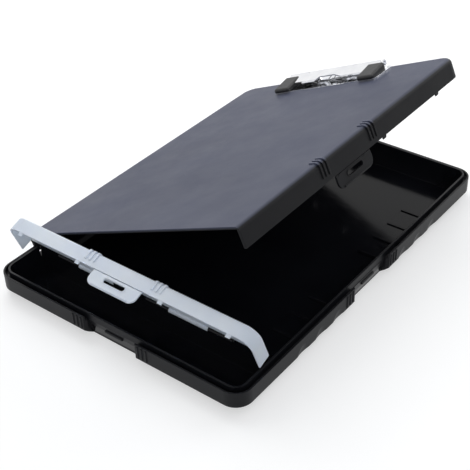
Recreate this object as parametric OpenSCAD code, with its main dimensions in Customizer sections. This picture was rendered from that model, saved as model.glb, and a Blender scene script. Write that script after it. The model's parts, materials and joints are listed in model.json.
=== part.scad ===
// Storage clipboard: a shallow case with a hinged writing lid that carries a
// low spring clip, and a pen bay at one end under its own small lid.
// Origin: centre of the case's base. +X points to the main latch side,
// +Y from the pen bay to the clip end, +Z up.

/* [Case] */
// Outside width, from the hinge side to the latch side
case_w = 240; // [215:1:300]
// Outside length, from the pen end to the clip end
case_l = 340; // [320:1:420]
// Radius of the case's corners, seen from above
corner_r = 14; // [13:0.5:20]
// Angle at which the main lid stands open
main_open = 24; // [0:1:85]
// Angle at which the pen lid stands open
pen_open = 70; // [0:1:95]
// Gap between pieces that pass or close on each other
fit_gap = 0.3; // [0.2:0.05:0.5]
// Clearance of a pin in its bores, on the radius
pin_clear = 0.05; // [0.02:0.01:0.1]

/* [Tray] */
// Height of the outer rim
rim_z = 20; // [18:0.5:30]
// Height where the outer band begins
band_z = 7; // [4:0.5:9]
// How far the base stands in from the band
base_inset = 9; // [6:0.5:12]
// Thickness of the floor
floor_t = 2; // [1.5:0.1:3]
// Thickness of the outer rim
rim_t = 1.4; // [1:0.1:2]
// Width of the groove that the lids close into
groove_w = 2.8; // [2.8:0.1:4]
// Depth of that groove below the rim
groove_d = 4; // [3:0.1:5]
// Thickness of the inner lip
lip_t = 1.6; // [1.2:0.1:2.5]
// How far the inner lip stands above the rim
lip_rise = 2; // [0.5:0.1:3]
// How far the inner wall leans in from its lip to the floor
wall_draft = 5.2; // [3.5:0.1:7]
// Length of the pen bay, from the outer face to the divider
pen_bay_l = 40.8; // [36:0.1:60]
// Thickness of the divider
divider_t = 2; // [1.2:0.1:3]
// Height of the divider's top
divider_z = 26; // [23:0.1:26]

/* [Finger grips] */
// Number of finger hollows on each side of the latch
grip_count = 3; // [2:1:3]
// Distance between finger hollows
grip_pitch = 23.4; // [20:0.1:26]
// Distance from the latch's middle to the first land between hollows
grip_start = 36.3; // [34:0.1:44]
// Radius of a finger hollow
grip_r = 26; // [22:1:32]
// Depth of a finger hollow at the base
grip_d = 2.2; // [1:0.1:3]
// Length of the bars that stiffen the floor behind the hollows
bar_l = 24; // [15:1:40]
// Width of a bar
bar_w = 1.6; // [1:0.1:3]
// Height of a bar above the floor
bar_h = 1.4; // [0.8:0.1:2]
// Height of the pad that the bars stand on
pad_h = 0.5; // [0.3:0.1:0.7]

/* [Main lid] */
// Depth of the main lid's skirt
main_depth = 16.3; // [14:0.1:20]
// Thickness of the main lid's writing plate
main_t = 2; // [1.5:0.1:3]
// Thickness of the main lid's skirt
skirt_t = 2.2; // [1.6:0.1:2.2]
// Radius of the edge between plate and skirt
main_round = 4; // [2:0.5:6]
// Width of a locating tab under the skirt
tab_w = 4; // [3:0.5:6]
// Length of a locating tab under the skirt
tab_l = 2.6; // [1.5:0.1:3]
// Places of the main lid's tabs along the latch side
main_tabs = [46, 128];

/* [Pen lid] */
// Depth of the pen lid's skirt
pen_depth = 11.9; // [11:0.1:13]
// Thickness of the pen lid
pen_t = 1.2; // [0.8:0.1:1.2]
// How far the pen lid stands in from the case
pen_inset = 2.7; // [2.6:0.1:2.8]
// Radius of the edge between its plate and skirt
pen_round = 1.5; // [0.8:0.1:2]
// Distance from the divider to the rear ends of the side skirts
pen_skirt_back = 6.6; // [5:0.1:10]
// Distance of the pen lid's inner tabs from its middle
pen_tab_x = 40; // [34:1:60]
// Distance of its outer tabs from the case's sides
pen_tab_in = 20; // [18:1:30]

/* [Latches] */
// Width of a latch flap
latch_w = 46; // [36:1:50]
// Length of a latch flap below its hinge line
latch_l = 11.5; // [10:0.5:12]
// Thickness of the main lid's flap
main_latch_t = 1.6; // [1.2:0.1:1.8]
// Radius of the flap's lower corners
latch_r = 6; // [3:0.5:7]
// Width of the slot in a flap
slot_w = 20; // [14:1:24]
// Height of the slot in a flap
slot_h = 4; // [3.6:0.1:4.6]
// Distance of the slot's middle below the hinge line
slot_drop = 3.9; // [3.7:0.1:4.2]
// Place of the main latch along the side
latch_y = 0; // [-20:1:20]
// Number of ribs on each side of a latch
rib_count = 3; // [2:1:3]
// Distance between ribs
rib_pitch = 4; // [3:0.5:5]
// Distance from the latch's middle to the first rib
rib_start = 28; // [27:0.5:34]
// How far a rib stands out
rib_h = 0.8; // [0.3:0.1:0.8]

/* [Hinges] */
// Distance of the main hinge line from the outer face
hinge_in = 4; // [3.8:0.1:6]
// Radius of the main hinge's knuckles
knuckle_r = 3.7; // [3:0.1:3.7]
// Radius of the main hinge's pins
main_pin_r = 1.2; // [0.8:0.1:1.8]
// Length of a knuckle on the tray
tray_knuckle_l = 9; // [6:1:14]
// Length of a knuckle on the main lid
lid_knuckle_l = 14; // [8:1:24]
// Number of main hinges
hinge_count = 3; // [2:1:4]
// Radius of the pen hinge's knuckles
pen_knuckle_r = 2.2; // [1.8:0.1:2.2]
// Radius of the pen hinge's pins
pen_pin_r = 0.9; // [0.6:0.1:1.2]
// Distance from the middle to the inner end of a pen hinge
pen_hinge_x = 5; // [4:1:12]
// Length of each of the two tray knuckles of a pen hinge
pen_tray_knuckle_l = 22; // [10:1:26]
// Length of the pen lid's knuckle in each pen hinge
pen_lid_knuckle_l = 36.4; // [20:0.1:44]

/* [Clip] */
// Width of the clip's base plate
clip_w = 114; // [90:1:130]
// Length of the clip's base plate
clip_l = 29.5; // [28:0.5:31]
// Distance from the clip's hinge to the lid's far edge
clip_back = 7.3; // [7:0.1:12]
// Thickness of the clip's steel
sheet_t = 1; // [0.8:0.1:1.2]
// Height of the clip's hinge line above the lid
clip_axis_z = 5.6; // [5.4:0.1:7]
// Outer radius of the clip's rolled barrel
barrel_r = 3; // [2.9:0.1:3.2]
// Length of the clip's rolled barrel
barrel_l = 106; // [90:1:110]
// Radius of the clip's hinge pin
clip_pin_r = 1.1; // [1:0.05:1.1]
// Reach of the jaw's front edge from its hinge
jaw_reach = 15; // [12:0.5:18]
// Slope of the jaw plate, degrees
jaw_slope = 12.8; // [10:0.1:13]
// Width of the jaw between its rubber grips
jaw_w = 76; // [60:1:84]
// Rise of the thumb hump in the jaw's front edge
hump_h = 2.3; // [1:0.1:3]
// Width of the thumb hump
hump_w = 28; // [20:1:34]
// Width of a rubber grip
grip_w = 17; // [12:1:18]
// Reach of a rubber grip from the clip's hinge
grip_reach = 27.5; // [26:0.5:29]
// Radius of the spring's wire
wire_r = 0.35; // [0.3:0.01:0.35]
// Number of whole turns in the spring
spring_turns = 6; // [4:1:8]
// Distance between the spring's turns
spring_pitch = 1.15; // [1.12:0.01:1.3]
// Radius of a rivet's shank
rivet_r = 1.5; // [1:0.1:2]

/* [Hidden] */
$fn = 64;
eps = 0.01;

// Tray
groove_z = rim_z - groove_d;
lip_z = rim_z + lip_rise;
groove_in = rim_t + groove_w;
wall_in = groove_in + lip_t;
floor_in = wall_in + wall_draft;
divider_y = -case_l / 2 + pen_bay_l;

// Main lid, closed
skirt_low = groove_z + fit_gap;
lid_inset = rim_t + fit_gap;
lid_w = case_w - 2 * lid_inset;
lid_far = case_l / 2 - lid_inset;
lid_r = corner_r - lid_inset;
lid_top = skirt_low + main_depth;
lid_near = divider_y;

// Main hinge
hinge_x = -case_w / 2 + hinge_in;
hinge_z = groove_z;
ledge_z = hinge_z - knuckle_r - 2 * fit_gap;
ledge_in = hinge_in + knuckle_r + 2 * fit_gap;
// A knuckle's foot stops short of the skirt that swings down beside it
foot_out = knuckle_r - 1.7;
hinge_l = lid_knuckle_l + 2 * tray_knuckle_l + 2 * fit_gap;
hinge_first = lid_near + hinge_l;
hinge_last = case_l / 2 - corner_r - hinge_l / 2;
hinge_ys = [for (i = [0 : hinge_count - 1])
    hinge_first + i * (hinge_last - hinge_first) / (hinge_count - 1)];

// Pen lid, closed
pen_w = case_w - 2 * pen_inset;
pen_front = -case_l / 2 + pen_inset;
pen_r = corner_r - pen_inset;
pen_top = skirt_low + pen_depth;
pen_axis_y = divider_y - pen_knuckle_r - 0.4;
pen_axis_z = pen_top - pen_t;
pen_edge_y = pen_axis_y - pen_knuckle_r - 0.4;
pen_skirt_end = divider_y - pen_skirt_back;
pen_hinge_l = 2 * pen_tray_knuckle_l + pen_lid_knuckle_l + 2 * fit_gap;
pen_tabs = [pen_tab_x, case_w / 2 - pen_tab_in];

// Latches: the hinge line lies just under the skirt
hinge_line_drop = 1;
neck_r = 0.5;
neck_l = 1.6;
border_w = 0.7;
border_h = 0.4;
latch_z = skirt_low - hinge_line_drop;
recess_w = latch_w + 2;
catch_w = slot_w - 3;
catch_h = slot_h - 1.9;
catch_gap = 0.35;
main_latch_in = lid_inset + main_latch_t;
pen_latch_in = pen_inset + pen_t;

// Clip, in the closed lid's frame
clip_y = lid_far - clip_back;
clip_z = lid_top + clip_axis_z;
plate_y = clip_y - clip_l + clip_back - 3;
chamber_r = barrel_r - 0.7;
knuckle_x = 26;
clip_knuckle_l = 8;
pin_l = barrel_l - 8;
coil_r = clip_pin_r + 0.1 + wire_r;
jaw_top = clip_z + barrel_r;
// Places of the rivets, from the base plate's ends and its front edge
rivet_in = [38, 6];
rivet_back = [17, 24];

// Turns children from the closed to the open place of each lid
module main_swing() {
    translate([hinge_x, 0, hinge_z]) rotate([0, -main_open, 0])
        translate([-hinge_x, 0, -hinge_z]) children();
}

module pen_swing() {
    translate([0, pen_axis_y, pen_axis_z]) rotate([-pen_open, 0, 0])
        translate([0, -pen_axis_y, -pen_axis_z]) children();
}

// A profile holds its distance in from the outer face as x and its height as y.
// run() draws it along a side that faces +X, turn() round a corner.
module run(length) {
    rotate([90, 0, 0]) linear_extrude(length, center = true) mirror([1, 0]) children();
}

module turn(r) {
    rotate_extrude(angle = 90) translate([r, 0]) mirror([1, 0]) children();
}

module ring(w, l, r) {
    for (s = [0, 180]) rotate(s) {
        translate([w / 2, 0, 0]) run(l - 2 * r) children();
        translate([0, l / 2, 0]) rotate(90) run(w - 2 * r) children();
        translate([w / 2 - r, l / 2 - r, 0]) turn(r) children();
        translate([-w / 2 + r, l / 2 - r, 0]) rotate(90) turn(r) children();
    }
}

module round_rect(w, l, r) {
    square([w - 2 * r, l], center = true);
    square([w, l - 2 * r], center = true);
    for (x = [-1, 1], y = [-1, 1]) translate([x * (w / 2 - r), y * (l / 2 - r)]) circle(r);
}

// Section of a lid: plate and skirt, with the outer edge rounded
module lid_section(top, low, plate_t, side_t, edge_r, grow = 0) {
    reach = edge_r + 5;
    difference() {
        translate([-grow, low]) square([reach + grow, top - low + grow]);
        translate([side_t, low - 1]) square([reach, top - plate_t - low + 1]);
        difference() {
            translate([-grow - 1, top + grow - edge_r]) square([edge_r + 1, edge_r + 1]);
            translate([edge_r - grow, top + grow - edge_r]) circle(edge_r);
        }
    }
}

module main_section(grow = 0) {
    lid_section(lid_top, skirt_low, main_t, skirt_t, main_round, grow);
}

module pen_section(grow = 0) {
    lid_section(pen_top, skirt_low, pen_t, pen_t, pen_round, grow);
}

// A rib leaves out the part of the skirt that goes down behind the rim
module rib_section() {
    intersection() {
        children();
        translate([-rib_h, rim_z + fit_gap]) square([main_round + 5, lid_top]);
    }
}

// Offsets of the ribs from a latch's middle
rib_offsets = [for (s = [-1, 1], i = [0 : rib_count - 1]) s * (rib_start + i * rib_pitch)];

// ---- Tray ----

module wall_section() {
    polygon([[0, band_z], [0, rim_z], [rim_t, rim_z], [rim_t, groove_z],
             [groove_in, groove_z], [groove_in, lip_z], [wall_in, lip_z],
             [floor_in, floor_t], [floor_in, 0], [base_inset, 0]]);
}

// Hollow for a latch flap, in a side that faces +X
module recess(flap_in) {
    back = flap_in + 0.6;
    lean = (groove_z - 3) * tan(14);
    intersection() {
        run(recess_w + 10)
            polygon([[-1, -1], [-1, lip_z + 1], [rim_t + eps, lip_z + 1], [rim_t + eps, groove_z],
                     [back, groove_z], [back + lean, 3], [back + lean, -1]]);
        linear_extrude(lip_z + 2, center = false)
            polygon([[1.5, -recess_w / 2 - 2.5], [1.5, recess_w / 2 + 2.5],
                     [-2.5, recess_w / 2], [-14, recess_w / 2],
                     [-14, -recess_w / 2], [-2.5, -recess_w / 2]]);
    }
}

// Catch that the flap's slot snaps over
module latch_catch(flap_in) {
    z = latch_z - slot_drop;
    tip = flap_in + catch_gap;
    run(catch_w)
        polygon([[tip, z - catch_h / 2 + 0.4], [tip, z + catch_h / 2 - 0.4],
                 [tip + 0.6, z + catch_h / 2], [tip + 3, z + catch_h / 2],
                 [tip + 3, z - catch_h / 2], [tip + 0.6, z - catch_h / 2]]);
}

module band_ribs() {
    for (o = rib_offsets)
        translate([0.3 - 0.9 + rib_h - 0.3, o, band_z + 1.5]) cylinder(r = 0.9, h = rim_z - band_z - 3);
}

module finger_hollows() {
    for (s = [-1, 1], i = [0 : grip_count - 1])
        translate([case_w / 2 - grip_d, latch_y + s * (grip_start + (i + 0.5) * grip_pitch), 0])
            rotate([0, 9, 0]) translate([grip_r, 0, -4]) cylinder(r = grip_r, h = 20);
}

module floor_bars() {
    x = case_w / 2 - floor_in - bar_l;
    for (s = [-1, 1]) {
        for (i = [0 : grip_count])
            translate([x, latch_y + s * (grip_start + i * grip_pitch) - bar_w / 2, floor_t - eps])
                cube([bar_l + 0.3, bar_w, bar_h + eps]);
        translate([x, latch_y + (s < 0 ? -1 : 1) * grip_start
                      - (s < 0 ? grip_count * grip_pitch : 0), floor_t - eps])
            cube([bar_l + 0.1, grip_count * grip_pitch, pad_h + eps]);
    }
}

// Pockets in the groove for the lids' locating tabs
module tab_pockets() {
    depth = tab_l + 2 * fit_gap;
    for (y = main_tabs)
        translate([case_w / 2 - groove_in, y - tab_w / 2 - fit_gap, groove_z - depth])
            cube([groove_w, tab_w + 2 * fit_gap, depth + 1]);
    for (x = pen_tabs, s = [-1, 1])
        translate([s * x - tab_w / 2 - fit_gap, -case_l / 2 + rim_t, groove_z - depth])
            cube([tab_w + 2 * fit_gap, groove_w + 0.3, depth + 1 - 0.6]);
}

// Knuckles along the main hinge: the tray's pair of each hinge
module tray_knuckles(r, spare = 0) {
    for (y = hinge_ys, s = [-1, 1])
        translate([hinge_x, y + s * (lid_knuckle_l / 2 + fit_gap + tray_knuckle_l / 2), hinge_z])
            rotate([90, 0, 0]) cylinder(r = r, h = tray_knuckle_l + 2 * spare, center = true);
}

module knuckle_feet() {
    for (y = hinge_ys, s = [-1, 1])
        translate([hinge_x - foot_out,
                   y + s * (lid_knuckle_l / 2 + fit_gap + tray_knuckle_l / 2) - tray_knuckle_l / 2,
                   ledge_z - 1])
            cube([foot_out + knuckle_r, tray_knuckle_l, hinge_z - ledge_z + 1]);
}

// The pen hinge's two tray knuckles in each hinge
module pen_tray_knuckles() {
    for (s = [-1, 1], k = [0, 1]) {
        x = pen_hinge_x + k * (pen_tray_knuckle_l + pen_lid_knuckle_l + 2 * fit_gap);
        x0 = s > 0 ? x : -x - pen_tray_knuckle_l;
        translate([x0, pen_axis_y, pen_axis_z]) rotate([0, 90, 0])
            cylinder(r = pen_knuckle_r, h = pen_tray_knuckle_l);
        translate([x0, pen_axis_y, pen_axis_z - pen_knuckle_r])
            cube([pen_tray_knuckle_l, divider_y - pen_axis_y + divider_t / 2, pen_knuckle_r]);
    }
}

module pen_hinge_bores(r) {
    for (s = [-1, 1])
        translate([s * (pen_hinge_x + pen_hinge_l / 2), pen_axis_y, pen_axis_z]) rotate([0, 90, 0])
            cylinder(r = r, h = pen_hinge_l + 2, center = true);
}

// Inner wall beside the main hinge, in place of the lip
module hinge_side_wall() {
    intersection() {
        translate([-case_w / 2 + ledge_in, divider_y, floor_t - eps])
            cube([lip_t, case_l / 2 - divider_y, lip_z - floor_t + eps]);
        linear_extrude(lip_z)
            round_rect(case_w - 2 * groove_in, case_l - 2 * groove_in, corner_r - groove_in);
    }
}

module tray() {
    color("#1b1c20") difference() {
        union() {
            difference() {
                union() {
                    ring(case_w, case_l, corner_r) wall_section();
                    linear_extrude(floor_t)
                        round_rect(case_w - 2 * floor_in + 1, case_l - 2 * floor_in + 1,
                                   corner_r - floor_in + 0.5);
                    hinge_side_wall();
                }
                // Ledge along the main hinge, where the rim and groove stop
                translate([-case_w / 2 - 1, lid_near - fit_gap, ledge_z])
                    cube([ledge_in + 1, case_l / 2 + 1 - lid_near, lip_z]);
                translate([-case_w / 2 + corner_r, case_l / 2 - corner_r, 0]) rotate(90)
                    turn(corner_r) translate([-1, groove_z]) square([rim_t + 1, lip_z]);
                translate([case_w / 2, latch_y, 0]) recess(main_latch_in);
                translate([0, -case_l / 2, 0]) rotate(-90) recess(pen_latch_in);
                finger_hollows();
                tab_pockets();
            }
            translate([-case_w / 2 + ledge_in, divider_y, floor_t - eps])
                cube([case_w - ledge_in - wall_in - 1, divider_t, lip_z - floor_t + eps]);
            translate([-case_w / 2 + ledge_in, divider_y, lip_z - 1])
                cube([case_w - ledge_in - wall_in - lip_t, divider_t, divider_z - lip_z + 1]);
            translate([case_w / 2, latch_y, 0]) latch_catch(main_latch_in);
            translate([0, -case_l / 2, 0]) rotate(-90) latch_catch(pen_latch_in);
            translate([case_w / 2, latch_y, 0]) band_ribs();
            translate([0, -case_l / 2, 0]) rotate(-90) band_ribs();
            floor_bars();
            tray_knuckles(knuckle_r);
            knuckle_feet();
            pen_tray_knuckles();
        }
        tray_knuckles(main_pin_r + pin_clear, 1);
        pen_hinge_bores(pen_pin_r + pin_clear);
    }
}

// ---- Hinge pins ----

module main_hinge_pins() {
    color("silver")
        for (y = hinge_ys)
            translate([hinge_x, y, hinge_z]) rotate([90, 0, 0])
                cylinder(r = main_pin_r, h = hinge_l, center = true);
}

module pen_hinge_pins() {
    color("silver")
        for (s = [-1, 1])
            translate([s * (pen_hinge_x + pen_hinge_l / 2), pen_axis_y, pen_axis_z])
                rotate([0, 90, 0]) cylinder(r = pen_pin_r, h = pen_hinge_l, center = true);
}

// ---- Latch flaps ----

// A flap hangs from the X axis and faces +Y
module flap(t) {
    difference() {
        union() {
            rotate([90, 0, 0]) linear_extrude(t, center = true) flap_outline();
            rotate([90, 0, 90]) linear_extrude(latch_w, center = true)
                polygon([[-neck_r, 0], [neck_r, 0], [t / 2, -neck_l], [-t / 2, -neck_l]]);
            rotate([0, 90, 0]) cylinder(r = neck_r, h = latch_w, center = true);
            // Raised border of the slot
            translate([0, t / 2 - eps, -slot_drop]) rotate([-90, 0, 0])
                linear_extrude(border_h) stadium(slot_w + 2 * border_w, slot_h + 2 * border_w);
            // Bead to pull the flap by
            translate([0, t / 2, -latch_l + 1]) rotate([0, 90, 0])
                cylinder(r = 0.7, h = latch_w - 2 * latch_r, center = true);
        }
        translate([0, 0, -slot_drop]) rotate([-90, 0, 0])
            linear_extrude(10, center = true) stadium(slot_w, slot_h);
    }
}

module flap_outline() {
    translate([-latch_w / 2, -latch_l + latch_r]) square([latch_w, latch_l - latch_r - neck_l]);
    translate([-latch_w / 2 + latch_r, -latch_l]) square([latch_w - 2 * latch_r, latch_l - 2]);
    for (s = [-1, 1]) translate([s * (latch_w / 2 - latch_r), -latch_l + latch_r]) circle(latch_r);
}

module stadium(w, h) {
    square([w - h, h], center = true);
    for (s = [-1, 1]) translate([s * (w - h) / 2, 0]) circle(h / 2);
}

module main_lid_latch() {
    color("#23242b") main_swing()
        translate([lid_w / 2 - main_latch_t / 2, latch_y, latch_z]) rotate(-90) flap(main_latch_t);
}

module pen_lid_latch() {
    color("#c9d3e8") pen_swing()
        translate([0, pen_front + pen_t / 2, latch_z]) rotate(180) flap(pen_t);
}

// ---- Main lid ----

module main_plate() {
    reach = main_round + 4;
    y0 = lid_near;
    y1 = lid_far - lid_r;
    translate([0, 0, lid_top - main_t]) linear_extrude(main_t) {
        translate([-lid_w / 2 + reach, y0]) square([lid_w - 2 * reach, y1 - y0]);
        translate([-lid_w / 2 + lid_r, y1 - 1]) square([lid_w - 2 * lid_r, lid_far - reach - y1 + 1]);
        for (s = [-1, 1]) translate([s * (lid_w / 2 - lid_r), y1]) circle(lid_r - reach);
    }
}

module main_shell() {
    side_l = lid_far - lid_r - lid_near;
    side_y = lid_near + side_l / 2;
    translate([lid_w / 2, side_y, 0]) run(side_l) main_section();
    translate([-lid_w / 2, side_y, 0]) rotate(180) run(side_l) main_section();
    translate([0, lid_far, 0]) rotate(90) run(lid_w - 2 * lid_r) main_section();
    translate([lid_w / 2 - lid_r, lid_far - lid_r, 0]) turn(lid_r) main_section();
    translate([-lid_w / 2 + lid_r, lid_far - lid_r, 0]) rotate(90) turn(lid_r) main_section();
    main_plate();
    for (o = rib_offsets)
        translate([lid_w / 2, latch_y + o, 0]) run(1.8) rib_section() main_section(rib_h);
    for (y = main_tabs)
        translate([lid_w / 2, y, 0]) run(tab_w)
            polygon([[0, skirt_low + 1], [skirt_t, skirt_low + 1], [skirt_t, skirt_low - tab_l],
                     [skirt_t - 0.8, skirt_low - tab_l]]);
}

module main_lid() {
    color("#4b5066") main_swing() difference() {
        union() {
            difference() {
                main_shell();
                tray_knuckles(knuckle_r + fit_gap, fit_gap);
            }
            for (y = hinge_ys) translate([hinge_x, y, hinge_z]) rotate([90, 0, 0])
                cylinder(r = knuckle_r, h = lid_knuckle_l, center = true);
        }
        for (y = hinge_ys) translate([hinge_x, y, hinge_z]) rotate([90, 0, 0])
            cylinder(r = main_pin_r + pin_clear, h = lid_knuckle_l + 2, center = true);
        rivet_places(lid_top) cylinder(r = rivet_r, h = 3 * main_t, center = true);
    }
}

// ---- Pen lid ----

module pen_shell() {
    side_l = pen_skirt_end - (pen_front + pen_r);
    side_y = pen_skirt_end - side_l / 2;
    reach = pen_round + 4;
    translate([pen_w / 2, side_y, 0]) run(side_l) pen_section();
    translate([-pen_w / 2, side_y, 0]) rotate(180) run(side_l) pen_section();
    translate([0, pen_front, 0]) rotate(-90) run(pen_w - 2 * pen_r) pen_section();
    translate([pen_w / 2 - pen_r, pen_front + pen_r, 0]) rotate(-90) turn(pen_r) pen_section();
    translate([-pen_w / 2 + pen_r, pen_front + pen_r, 0]) rotate(180) turn(pen_r) pen_section();
    translate([0, 0, pen_top - pen_t]) linear_extrude(pen_t) {
        translate([-pen_w / 2 + pen_r, pen_front + reach])
            square([pen_w - 2 * pen_r, pen_edge_y - pen_front - reach]);
        translate([-pen_w / 2 + reach, pen_front + pen_r])
            square([pen_w - 2 * reach, pen_edge_y - pen_front - pen_r]);
        for (s = [-1, 1])
            translate([s * (pen_w / 2 - pen_r), pen_front + pen_r]) circle(pen_r - reach);
        translate([-pen_w / 2 + pen_round, pen_skirt_end - 1])
            square([pen_w - 2 * pen_round, pen_edge_y - pen_skirt_end + 1]);
    }
    for (o = rib_offsets)
        translate([o, pen_front, 0]) rotate(-90) run(1.8) rib_section() pen_section(rib_h);
    for (x = pen_tabs, s = [-1, 1])
        translate([s * x, pen_front, 0]) rotate(-90) run(tab_w)
            polygon([[0, skirt_low + 1], [pen_t, skirt_low + 1], [pen_t, skirt_low - tab_l],
                     [pen_t - 0.4, skirt_low - tab_l]]);
}

module pen_lid_knuckles(r, h) {
    x = pen_hinge_x + pen_tray_knuckle_l + fit_gap + pen_lid_knuckle_l / 2;
    for (s = [-1, 1]) translate([s * x, pen_axis_y, pen_axis_z]) rotate([0, 90, 0])
        cylinder(r = r, h = h, center = true);
}

module pen_lid() {
    color("#c9d3e8") pen_swing() difference() {
        union() {
            pen_shell();
            pen_lid_knuckles(pen_knuckle_r, pen_lid_knuckle_l);
            for (s = [-1, 1])
                translate([s * (pen_hinge_x + pen_tray_knuckle_l + fit_gap + pen_lid_knuckle_l / 2)
                           - pen_lid_knuckle_l / 2, pen_edge_y - 1, pen_top - pen_t])
                    cube([pen_lid_knuckle_l, pen_axis_y - pen_edge_y + 1, pen_t]);
        }
        pen_lid_knuckles(pen_pin_r + pin_clear, pen_lid_knuckle_l + 2);
    }
}

// ---- Clip ----

// Tangent-barrel section of the jaw plate, from its hinge forward
module jaw_sheet(x0, w, reach) {
    translate([x0, clip_y, clip_z]) rotate([jaw_slope, 0, 0])
        translate([0, -reach, barrel_r - sheet_t]) cube([w, reach, sheet_t]);
}

module rivet_places(z) {
    for (x = [-1, 1], y = [0, 1])
        translate([x * (clip_w / 2 - rivet_in[y]), plate_y + rivet_back[y], z]) children();
}

module clip_base_plate() {
    color("#c9ccd2") main_swing() difference() {
        union() {
            translate([0, plate_y + clip_l / 2, lid_top])
                linear_extrude(sheet_t) round_rect(clip_w, clip_l, 3);
            translate([0, plate_y + clip_l / 2 - 2, lid_top])
                linear_extrude(sheet_t) round_rect(48, clip_l - 1, 3);
            for (s = [-1, 1]) {
                translate([s * knuckle_x, clip_y, clip_z]) rotate([0, 90, 0])
                    cylinder(r = barrel_r, h = clip_knuckle_l, center = true);
                translate([s * knuckle_x - clip_knuckle_l / 2, clip_y + barrel_r - 1.6, lid_top])
                    cube([clip_knuckle_l, 1.6, clip_axis_z]);
            }
        }
        translate([0, clip_y, clip_z]) rotate([0, 90, 0])
            cylinder(r = clip_pin_r + pin_clear, h = clip_w, center = true);
        rivet_places(lid_top) cylinder(r = rivet_r, h = 5, center = true);
    }
}

module clip_rivets() {
    color("#b8bbc2") main_swing() rivet_places(lid_top) {
        translate([0, 0, -main_t - 0.6]) cylinder(r = rivet_r, h = main_t + sheet_t + 1.2);
        translate([0, 0, sheet_t]) cylinder(r1 = rivet_r + 1.5, r2 = rivet_r + 0.9, h = 0.8);
        translate([0, 0, -main_t - 0.8]) cylinder(r1 = rivet_r + 0.7, r2 = rivet_r + 1.2, h = 0.8);
    }
}

module clip_hinge_pin() {
    color("#9da0a6") main_swing() translate([0, clip_y, clip_z]) rotate([0, 90, 0])
        cylinder(r = clip_pin_r, h = pin_l, center = true);
}

// The jaw's flat parts: the plate, its hump and the arms that carry the grips
module jaw_plate() {
    arm_w = (clip_w - 8 - jaw_w) / 2 - 2;
    jaw_sheet(-jaw_w / 2 - arm_w, jaw_w + 2 * arm_w, jaw_reach);
    for (s = [-1, 1])
        jaw_sheet(s > 0 ? jaw_w / 2 + 2 : -jaw_w / 2 - 2 - arm_w + 2, arm_w - 2, grip_reach - 3);
}

hump_foot = jaw_top - jaw_reach * sin(jaw_slope) - sheet_t - 0.3;
hump_side = 6;

module hump() {
    front = clip_y - jaw_reach - 0.3;
    foot = hump_foot;
    translate([0, clip_y - 3, 0]) rotate([90, 0, 0]) linear_extrude(clip_y - 3 - front)
        polygon([[-hump_w / 2, foot], [-hump_w / 2 + hump_side, foot + hump_h],
                 [hump_w / 2 - hump_side, foot + hump_h], [hump_w / 2, foot],
                 [hump_w / 2, foot + sheet_t + 0.1],
                 [hump_w / 2 - hump_side + 0.4, foot + hump_h + sheet_t],
                 [-hump_w / 2 + hump_side - 0.4, foot + hump_h + sheet_t],
                 [-hump_w / 2, foot + sheet_t + 0.1]]);
}

// Room under the hump, cut out of the flat plate
module hump_hollow() {
    top = hump_foot + hump_h + 0.2;
    side = hump_side * (1 - 0.2 / hump_h) - 0.3;
    translate([0, clip_y - 6, 0]) rotate([90, 0, 0]) linear_extrude(jaw_reach)
        polygon([[-hump_w / 2 + 1, hump_foot - 2], [-hump_w / 2 + 1, hump_foot + 0.2],
                 [-hump_w / 2 + 1 + side, top], [hump_w / 2 - 1 - side, top],
                 [hump_w / 2 - 1, hump_foot + 0.2], [hump_w / 2 - 1, hump_foot - 2]]);
}

module clip_jaw() {
    color("#c9ccd2") main_swing() difference() {
        union() {
            difference() {
                union() {
                    jaw_plate();
                    translate([0, clip_y, clip_z]) rotate([0, 90, 0])
                        cylinder(r = barrel_r, h = barrel_l, center = true);
                }
                hump_hollow();
                // Notches round the base plate's knuckles
                for (s = [-1, 1]) translate([s * knuckle_x, clip_y, clip_z]) rotate([0, 90, 0])
                    cylinder(r = barrel_r + fit_gap + 0.1, h = clip_knuckle_l + 2 * fit_gap, center = true);
            }
            hump();
        }
        // Bores for the pin, wider at the ends and round the spring
        translate([0, clip_y, clip_z]) rotate([0, 90, 0]) {
            cylinder(r = clip_pin_r + pin_clear, h = barrel_l + 2, center = true);
            cylinder(r = chamber_r, h = 2 * (knuckle_x - clip_knuckle_l / 2 - 4), center = true);
            for (s = [-1, 1]) translate([0, 0, s * (pin_l / 2 + 5)])
                cylinder(r = chamber_r, h = 10, center = true);
        }
        // The roll stays open below and in front, for the spring's legs
        translate([-10, clip_y - barrel_r - 1, clip_z - barrel_r - 1])
            cube([20, barrel_r + 1 + 1.9, barrel_r + 1 + 1.5]);
    }
}

// Rubber grip on a front corner of the jaw
module rubber_grip(side) {
    x0 = jaw_w / 2 + 1;
    r = 2.2;
    low = lid_top + sheet_t + fit_gap;
    front = clip_y - grip_reach;
    back = clip_y - barrel_r - 1.2;
    slope = tan(jaw_slope);
    roof = jaw_top + 0.9;
    difference() {
        hull() for (x = [x0 + r, x0 + grip_w - r]) {
            translate([x, front + r, low + r - 0.4]) sphere(r, $fn = 24);
            translate([x, front + r, low]) cylinder(r = r - 0.3, h = 0.5, $fn = 24);
            translate([x, front + 4, roof - (clip_y - front - 4) * slope - r]) sphere(r, $fn = 24);
            translate([x, back - r, roof - (clip_y - back + r) * slope - r]) sphere(r, $fn = 24);
            translate([x, back - r, low]) cylinder(r = r - 0.3, h = 0.5, $fn = 24);
        }
        jaw_plate();
        translate([x0 - 1, front - 1, low - 3]) cube([grip_w + 2, grip_reach, 3]);
    }
}

module clip_grip_left() {
    color("#141414") main_swing() mirror([1, 0, 0]) rubber_grip(1);
}

module clip_grip_right() {
    color("#141414") main_swing() rubber_grip(1);
}

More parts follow.
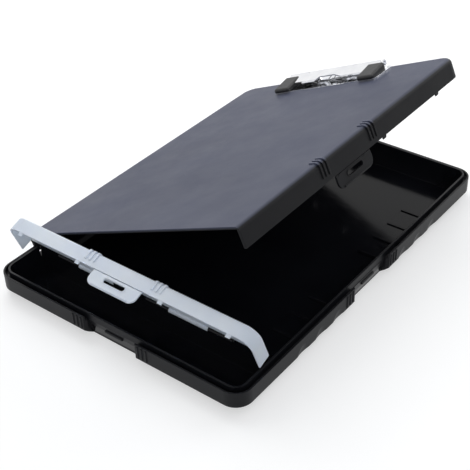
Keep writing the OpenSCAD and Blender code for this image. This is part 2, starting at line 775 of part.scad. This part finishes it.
// Torsion spring: a leg on the base plate, the coil on the pin, a leg under the jaw
low_leg = 12;
high_leg = 24;
coil_from = -90 + low_leg;
coil_to = 90 + high_leg + 360 * spring_turns;
coil_steps = 8 * spring_turns + 4;
function coil_point(i) = let (a = coil_from + (coil_to - coil_from) * i / coil_steps)
    [spring_pitch * ((a - coil_from) / 360 - (spring_turns + 0.5) / 2), coil_r * cos(a), coil_r * sin(a)];
coil = [for (i = [0 : coil_steps]) coil_point(i)];
first_leg = coil[0] - [0, 12 * cos(low_leg), 12 * sin(low_leg)];
last_leg = coil[coil_steps] - [0, 11 * cos(high_leg), 11 * sin(high_leg)];
wire_path = concat([first_leg], coil, [last_leg]);

function unit(v) = v / norm(v);
function tangent(p, i) = unit(p[min(i + 1, len(p) - 1)] - p[max(i - 1, 0)]);
function ring_points(p, i, r, sides) = let (
    t = tangent(p, i), a = unit([1, 0, 0] - t[0] * t), b = cross(t, a))
    [for (k = [0 : sides - 1]) p[i] + r * (cos(360 * k / sides) * a + sin(360 * k / sides) * b)];

module tube(p, r, sides) {
    n = len(p);
    points = [for (i = [0 : n - 1]) each ring_points(p, i, r, sides)];
    walls = [for (i = [0 : n - 2], k = [0 : sides - 1], h = [0, 1]) let (
        a = i * sides + k, b = i * sides + (k + 1) % sides)
        h == 0 ? [a, a + sides, b] : [b, a + sides, b + sides]];
    ends = [for (k = [1 : sides - 2]) each [[0, k, k + 1],
        [(n - 1) * sides, (n - 1) * sides + k + 1, (n - 1) * sides + k]]];
    polyhedron(points, concat(walls, ends));
}

// Least distance between neighbouring turns, less the wire
coil_gap = min([for (i = [0 : coil_steps - 8]) norm(coil[i + 8] - coil[i])]) - 2 * wire_r;
echo(least_gap_between_spring_turns = coil_gap);

module clip_spring() {
    color("#8f9298") main_swing() translate([0, clip_y, clip_z]) tube(wire_path, wire_r, 6);
}

tray();
main_hinge_pins();
pen_hinge_pins();
main_lid();
main_lid_latch();
pen_lid();
pen_lid_latch();
clip_base_plate();
clip_rivets();
clip_hinge_pin();
clip_spring();
clip_jaw();
clip_grip_left();
clip_grip_right();
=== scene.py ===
"""Looks of the storage clipboard: finishes, floor, light and camera."""

import json
import math

import bpy
from mathutils import Matrix, Vector


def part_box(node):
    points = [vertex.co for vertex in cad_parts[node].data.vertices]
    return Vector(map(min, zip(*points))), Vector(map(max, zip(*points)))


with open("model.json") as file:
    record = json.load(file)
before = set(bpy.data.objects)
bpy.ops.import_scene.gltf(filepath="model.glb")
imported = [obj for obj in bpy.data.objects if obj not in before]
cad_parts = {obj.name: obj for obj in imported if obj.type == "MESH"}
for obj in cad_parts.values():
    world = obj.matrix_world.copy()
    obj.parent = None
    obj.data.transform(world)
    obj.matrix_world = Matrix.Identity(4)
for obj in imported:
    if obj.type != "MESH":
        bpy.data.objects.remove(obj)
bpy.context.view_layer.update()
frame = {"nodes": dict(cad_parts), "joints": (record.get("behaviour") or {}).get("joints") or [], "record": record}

MM = 0.001
IMAGE_PX = 470
SENSOR_MM = 36.0

nodes = frame["nodes"]
joints = {joint["name"]: joint for joint in frame["joints"]}


# ---- Places that the frame gives ----

MAIN_HINGE = Vector(joints["main_lid_hinge"]["pos_m"])
# The main lid's joint goes back to closed by the angle at which it stands open
MAIN_OPEN = -math.radians(joints["main_lid_hinge"]["range_deg"][0])
LID_UP = Matrix.Rotation(-MAIN_OPEN, 3, "Y") @ Vector((0, 0, 1))

TRAY_LOW, TRAY_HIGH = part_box("tray")
CASE_W = 2 * min(-TRAY_LOW.x, TRAY_HIGH.x)
CASE_L = TRAY_HIGH.y * 2


def top_of_lid():
    """Height of the main lid's writing face above its hinge, square to the lid."""
    vertices = nodes["main_lid"].data.vertices
    return max((vertex.co - MAIN_HINGE).dot(LID_UP) for vertex in vertices)


# The tray's polished inside begins behind its inner lip, above the base's rim
LIP_IN = 5.9 * MM
INSIDE_FROM = 1.5 * MM
# Depths below the writing face between which the slate blue painted sheen fades to the plastic's black
PAINTED_SHEEN_FADE = (0.4 * MM, 2.4 * MM)


# ---- Node helpers ----

class Nodes:
    """A material's node tree, with short calls for the nodes that the finishes share."""

    def __init__(self, name):
        self.material = bpy.data.materials.new(name)
        self.material.use_nodes = True
        self.tree = self.material.node_tree
        self.tree.nodes.clear()
        self.output = self.add("ShaderNodeOutputMaterial")
        self.shader = self.add("ShaderNodeBsdfPrincipled")
        self.link(self.shader.outputs["BSDF"], self.output.inputs["Surface"])
        self.place = self.add("ShaderNodeTexCoord").outputs["Object"]

    def add(self, kind, **settings):
        node = self.tree.nodes.new(kind)
        for key, value in settings.items():
            setattr(node, key, value)
        return node

    def link(self, source, target):
        self.tree.links.new(source, target)

    def feed(self, target, value):
        """Sets a socket to a number, or links it to another node's output."""
        if isinstance(value, bpy.types.NodeSocket):
            self.link(value, target)
        else:
            target.default_value = value

    def math(self, operation, a, b=0.0, clamp=False):
        node = self.add("ShaderNodeMath", operation=operation, use_clamp=clamp)
        self.feed(node.inputs[0], a)
        self.feed(node.inputs[1], b)
        return node.outputs[0]

    def noise(self, scale, detail=2.0, roughness=0.5, place=None):
        node = self.add("ShaderNodeTexNoise")
        self.link(place or self.place, node.inputs["Vector"])
        node.inputs["Scale"].default_value = scale
        node.inputs["Detail"].default_value = detail
        node.inputs["Roughness"].default_value = roughness
        return node.outputs["Fac"]

    def cells(self, scale):
        node = self.add("ShaderNodeTexVoronoi", feature="SMOOTH_F1")
        self.link(self.place, node.inputs["Vector"])
        node.inputs["Scale"].default_value = scale
        return node.outputs["Distance"]

    def stretched(self, scale):
        """Object coordinates scaled unevenly, for scratches and drawn metal."""
        node = self.add("ShaderNodeMapping")
        self.link(self.place, node.inputs["Vector"])
        node.inputs["Scale"].default_value = scale
        return node.outputs[0]

    def along(self, direction, origin):
        """Distance of the shaded point from origin along a direction of the object."""
        shift = self.add("ShaderNodeVectorMath", operation="SUBTRACT")
        self.link(self.place, shift.inputs[0])
        shift.inputs[1].default_value = origin
        dot = self.add("ShaderNodeVectorMath", operation="DOT_PRODUCT")
        self.link(shift.outputs[0], dot.inputs[0])
        dot.inputs[1].default_value = direction
        return dot.outputs["Value"]

    def range(self, value, low, high, to_low=0.0, to_high=1.0):
        node = self.add("ShaderNodeMapRange")
        self.feed(node.inputs["Value"], value)
        node.inputs["From Min"].default_value = low
        node.inputs["From Max"].default_value = high
        node.inputs["To Min"].default_value = to_low
        node.inputs["To Max"].default_value = to_high
        return node.outputs["Result"]

    def mix(self, factor, a, b):
        node = self.add("ShaderNodeMix", data_type="RGBA")
        self.feed(node.inputs["Factor"], factor)
        self.feed(node.inputs["A"], a)
        self.feed(node.inputs["B"], b)
        return node.outputs["Result"]

    def soft_edges(self, radius):
        node = self.add("ShaderNodeBevel", samples=4)
        node.inputs["Radius"].default_value = radius
        return node.outputs["Normal"]

    def bump(self, height, depth, strength=1.0, normal=None):
        node = self.add("ShaderNodeBump")
        self.link(height, node.inputs["Height"])
        node.inputs["Distance"].default_value = depth
        node.inputs["Strength"].default_value = strength
        if normal:
            self.link(normal, node.inputs["Normal"])
        return node.outputs["Normal"]

    def set(self, **inputs):
        """Sets the shader's inputs: Base_Color=..., Roughness=..."""
        for key, value in inputs.items():
            self.feed(self.shader.inputs[key.replace("_", " ")], value)


def rgba(red, green, blue):
    return (red, green, blue, 1.0)


# ---- Finishes ----

def tray_plastic():
    """Black plastic: a polished inside, and a satin, finely grained outside."""
    m = Nodes("black_plastic")
    split = m.add("ShaderNodeSeparateXYZ")
    m.link(m.place, split.inputs[0])
    across = m.math("ABSOLUTE", split.outputs["X"])
    in_x = m.math("LESS_THAN", across, CASE_W / 2 - LIP_IN)
    along = m.math("ABSOLUTE", split.outputs["Y"])
    in_y = m.math("LESS_THAN", along, CASE_L / 2 - LIP_IN)
    above = m.math("GREATER_THAN", split.outputs["Z"], INSIDE_FROM)
    inside = m.math("MULTIPLY", m.math("MULTIPLY", in_x, in_y), above)
    cloud = m.noise(22.0, 3.0)
    grain = m.noise(2600.0, 2.0)
    scratches = m.noise(60.0, 4.0, 0.6, m.stretched((1.0, 14.0, 1.0)))
    polished = m.range(scratches, 0.35, 0.75, 0.09, 0.2)
    satin = m.range(cloud, 0.3, 0.7, 0.34, 0.44)
    rough = m.add("ShaderNodeMix", data_type="FLOAT")
    m.link(inside, rough.inputs["Factor"])
    m.link(satin, rough.inputs["A"])
    m.link(polished, rough.inputs["B"])
    dark, light = rgba(0.0032, 0.0034, 0.005), rgba(0.0055, 0.006, 0.008)
    tone = m.mix(m.range(cloud, 0.3, 0.7), dark, light)
    depth = m.math("MULTIPLY", m.math("SUBTRACT", 1.0, inside), grain)
    m.set(Base_Color=tone, Roughness=rough.outputs["Result"], Specular_IOR_Level=0.16)
    m.set(Normal=m.bump(depth, 0.05 * MM, 0.5, m.soft_edges(0.5 * MM)))
    return m.material


def slate_plastic():
    """Writing lid: black plastic with leather-like grain; slate blue painted sheen on top, near-black below."""
    m = Nodes("slate_plastic")
    top = top_of_lid()
    fade_from, fade_to = PAINTED_SHEEN_FADE
    # Mask of the writing face, where the slate blue painted sheen goes
    face = m.range(m.along(LID_UP, MAIN_HINGE), top - fade_to, top - fade_from)
    cloud = m.noise(9.0, 3.0)
    grain = m.cells(1150.0)
    fine = m.noise(3200.0, 2.0)
    rubbed = m.noise(24.0, 5.0, 0.65)
    # Slate blue painted sheen for the top face; the plastic itself is black, and the two shades are random tone
    dark, light = rgba(0.052, 0.059, 0.098), rgba(0.066, 0.075, 0.122)
    painted_sheen_colour = m.mix(m.range(cloud, 0.3, 0.7), dark, light)
    tone = m.mix(face, rgba(0.0035, 0.0037, 0.005), painted_sheen_colour)
    rough = m.range(rubbed, 0.3, 0.75, 0.44, 0.58)
    pattern = m.math("ADD", m.math("MULTIPLY", grain, 0.7), m.math("MULTIPLY", fine, 0.3))
    shine = m.range(face, 0.0, 1.0, 0.14, 0.3)
    m.set(Base_Color=tone, Roughness=rough, Specular_IOR_Level=shine)
    m.set(Normal=m.bump(pattern, 0.09 * MM, 0.55, m.soft_edges(0.6 * MM)))
    return m.material


def frosted_plastic():
    """Pen lid: milky, slightly blue polypropylene that lets some light through."""
    m = Nodes("frosted_plastic")
    cloud = m.noise(40.0, 3.0)
    fine = m.noise(2200.0, 3.0)
    dark, light = rgba(0.78, 0.85, 0.97), rgba(0.86, 0.92, 1.0)
    tone = m.mix(m.range(cloud, 0.3, 0.7), dark, light)
    m.set(Base_Color=tone, Roughness=m.range(fine, 0.3, 0.7, 0.3, 0.42))
    m.set(Transmission_Weight=0.3, Subsurface_Weight=0.3, Subsurface_Scale=2 * MM)
    m.set(Subsurface_Radius=(1.0, 1.0, 1.0), IOR=1.48)
    m.set(Normal=m.bump(fine, 0.03 * MM, 0.4, m.soft_edges(0.25 * MM)))
    return m.material


def chrome():
    """Bright plated steel with faint polishing lines and handling smudges."""
    m = Nodes("chrome")
    lines = m.noise(900.0, 3.0, 0.6, m.stretched((0.06, 1.0, 1.0)))
    smudge = m.noise(70.0, 3.0)
    dark, light = rgba(0.80, 0.81, 0.84), rgba(0.88, 0.885, 0.90)
    tone = m.mix(m.range(smudge, 0.35, 0.7), dark, light)
    smeared = m.range(smudge, 0.4, 0.75, 0.05, 0.14)
    rough = m.math("ADD", smeared, m.range(lines, 0.4, 0.8, 0.0, 0.05))
    m.set(Base_Color=tone, Roughness=rough, Metallic=1.0)
    m.set(Normal=m.bump(lines, 0.01 * MM, 0.3, m.soft_edges(0.2 * MM)))
    return m.material


def drawn_steel(name, shade):
    """Drawn wire and pins: grey steel with fine lines along it."""
    m = Nodes(name)
    lines = m.noise(700.0, 3.0, 0.6, m.stretched((0.05, 1.0, 1.0)))
    low = rgba(shade * 0.8, shade * 0.8, shade * 0.82)
    high = rgba(shade, shade, shade * 1.02)
    rough = m.range(lines, 0.3, 0.7, 0.22, 0.36)
    m.set(Base_Color=m.mix(lines, low, high), Roughness=rough, Metallic=1.0)
    m.set(Normal=m.bump(lines, 0.01 * MM, 0.3))
    return m.material


def black_rubber():
    """Soft rubber grips: matt black with a fine, slightly dusty skin."""
    m = Nodes("black_rubber")
    skin = m.noise(1500.0, 4.0, 0.6)
    dust = m.noise(160.0, 4.0, 0.6)
    dark, light = rgba(0.006, 0.006, 0.007), rgba(0.017, 0.017, 0.019)
    tone = m.mix(m.range(dust, 0.45, 0.75), dark, light)
    rough = m.range(skin, 0.3, 0.7, 0.4, 0.56)
    m.set(Base_Color=tone, Roughness=rough, Specular_IOR_Level=0.45)
    m.set(Normal=m.bump(skin, 0.06 * MM, 0.5, m.soft_edges(0.4 * MM)))
    return m.material


FINISHES = {
    "black_plastic": tray_plastic(),
    "slate_plastic": slate_plastic(),
    "frosted_plastic": frosted_plastic(),
    "chrome": chrome(),
    "pin_steel": drawn_steel("pin_steel", 0.62),
    "spring_steel": drawn_steel("spring_steel", 0.45),
    "black_rubber": black_rubber(),
}


def dress_nodes():
    """Gives every CAD node the finish of its record slot."""
    for part in frame["record"]["subparts"]:
        mesh = nodes[part["node"]].data
        mesh.materials.clear()
        mesh.materials.append(FINISHES[part["material_slot"]])


# ---- Stage ----

FLOOR_SIZE = 40.0
FLOOR_GAP = 0.2 * MM


def seen_directly(tree):
    """1 for rays from the camera, a mirror or through a clear piece, and 0 for light."""
    path = tree.nodes.new("ShaderNodeLightPath")
    total = path.outputs["Is Camera Ray"]
    for kind in ("Is Glossy Ray", "Is Transmission Ray"):
        step = tree.nodes.new("ShaderNodeMath")
        step.operation = "MAXIMUM"
        tree.links.new(total, step.inputs[0])
        tree.links.new(path.outputs[kind], step.inputs[1])
        total = step.outputs[0]
    return total


def backdrop_material(name, shade, glow):
    """Pale and lit by the lamps, and a little brighter where the camera sees it."""
    material = bpy.data.materials.new(name)
    material.use_nodes = True
    tree = material.node_tree
    tree.nodes.clear()
    output = tree.nodes.new("ShaderNodeOutputMaterial")
    diffuse = tree.nodes.new("ShaderNodeBsdfDiffuse")
    diffuse.inputs["Color"].default_value = rgba(shade, shade, shade)
    light = tree.nodes.new("ShaderNodeEmission")
    light.inputs["Strength"].default_value = glow
    both = tree.nodes.new("ShaderNodeAddShader")
    seen = tree.nodes.new("ShaderNodeMixShader")
    tree.links.new(diffuse.outputs[0], both.inputs[0])
    tree.links.new(light.outputs[0], both.inputs[1])
    tree.links.new(seen_directly(tree), seen.inputs["Fac"])
    tree.links.new(diffuse.outputs[0], seen.inputs[1])
    tree.links.new(both.outputs[0], seen.inputs[2])
    tree.links.new(seen.outputs[0], output.inputs["Surface"])
    return material


def make_floor():
    bpy.ops.mesh.primitive_plane_add(size=FLOOR_SIZE, location=(0, 0, -FLOOR_GAP))
    floor = bpy.context.object
    floor.name = "floor"
    floor.data.materials.append(backdrop_material("floor", 0.6, 0.5))


def make_world():
    """White where the camera sees it, a plain soft grey as light."""
    world = bpy.data.worlds.new("studio")
    bpy.context.scene.world = world
    world.use_nodes = True
    tree = world.node_tree
    tree.nodes.clear()
    output = tree.nodes.new("ShaderNodeOutputWorld")
    seen = tree.nodes.new("ShaderNodeBackground")
    seen.inputs["Color"].default_value = rgba(1, 1, 1)
    seen.inputs["Strength"].default_value = 1.0
    light = tree.nodes.new("ShaderNodeBackground")
    light.inputs["Color"].default_value = rgba(0.93, 0.96, 1.0)
    light.inputs["Strength"].default_value = 0.45
    mix = tree.nodes.new("ShaderNodeMixShader")
    tree.links.new(seen_directly(tree), mix.inputs["Fac"])
    tree.links.new(light.outputs[0], mix.inputs[1])
    tree.links.new(seen.outputs[0], mix.inputs[2])
    tree.links.new(mix.outputs[0], output.inputs["Surface"])


def area_light(name, place, target, size, power):
    data = bpy.data.lights.new(name, "AREA")
    data.shape = "RECTANGLE"
    data.size, data.size_y = size
    data.energy = power
    lamp = bpy.data.objects.new(name, data)
    bpy.context.scene.collection.objects.link(lamp)
    lamp.location = place
    lamp.rotation_euler = (Vector(target) - Vector(place)).to_track_quat("-Z", "Y").to_euler()


def make_lights():
    area_light("key", (-0.9, 0.5, 1.5), (0, 0, 0.03), (1.2, 1.2), 16)
    area_light("fill", (0.9, -1.2, 1.1), (0, 0, 0.03), (1.0, 1.0), 5)
    area_light("back", (0.3, 1.6, 0.9), (0, 0.05, 0.05), (1.6, 0.7), 9)


# Camera: where it looks, how it is turned and how far off it stands
AZIMUTH = math.radians(38.58)
ELEVATION = math.radians(36.13)
ROLL = math.radians(-2.08)
DISTANCE = 0.8716
TARGET = Vector((-0.01293, -0.00209, 0.0))
FOCAL_PX = 1030.4


def make_camera():
    sin_a, cos_a = math.sin(AZIMUTH), math.cos(AZIMUTH)
    sin_e, cos_e = math.sin(ELEVATION), math.cos(ELEVATION)
    back = Vector((sin_a * cos_e, -cos_a * cos_e, sin_e))
    level = Vector((cos_a, sin_a, 0))
    upright = back.cross(level)
    right = math.cos(ROLL) * level + math.sin(ROLL) * upright
    up = -math.sin(ROLL) * level + math.cos(ROLL) * upright
    data = bpy.data.cameras.new("camera")
    data.sensor_width = SENSOR_MM
    data.lens = FOCAL_PX / IMAGE_PX * SENSOR_MM
    data.clip_start, data.clip_end = 0.01, 50.0
    camera = bpy.data.objects.new("camera", data)
    bpy.context.scene.collection.objects.link(camera)
    camera.matrix_world = Matrix((right, up, back)).transposed().to_4x4()
    camera.location = TARGET + DISTANCE * back
    bpy.context.scene.camera = camera


make_camera()
dress_nodes()
make_floor()
make_world()
make_lights()
bpy.context.scene.view_settings.view_transform = "Standard"
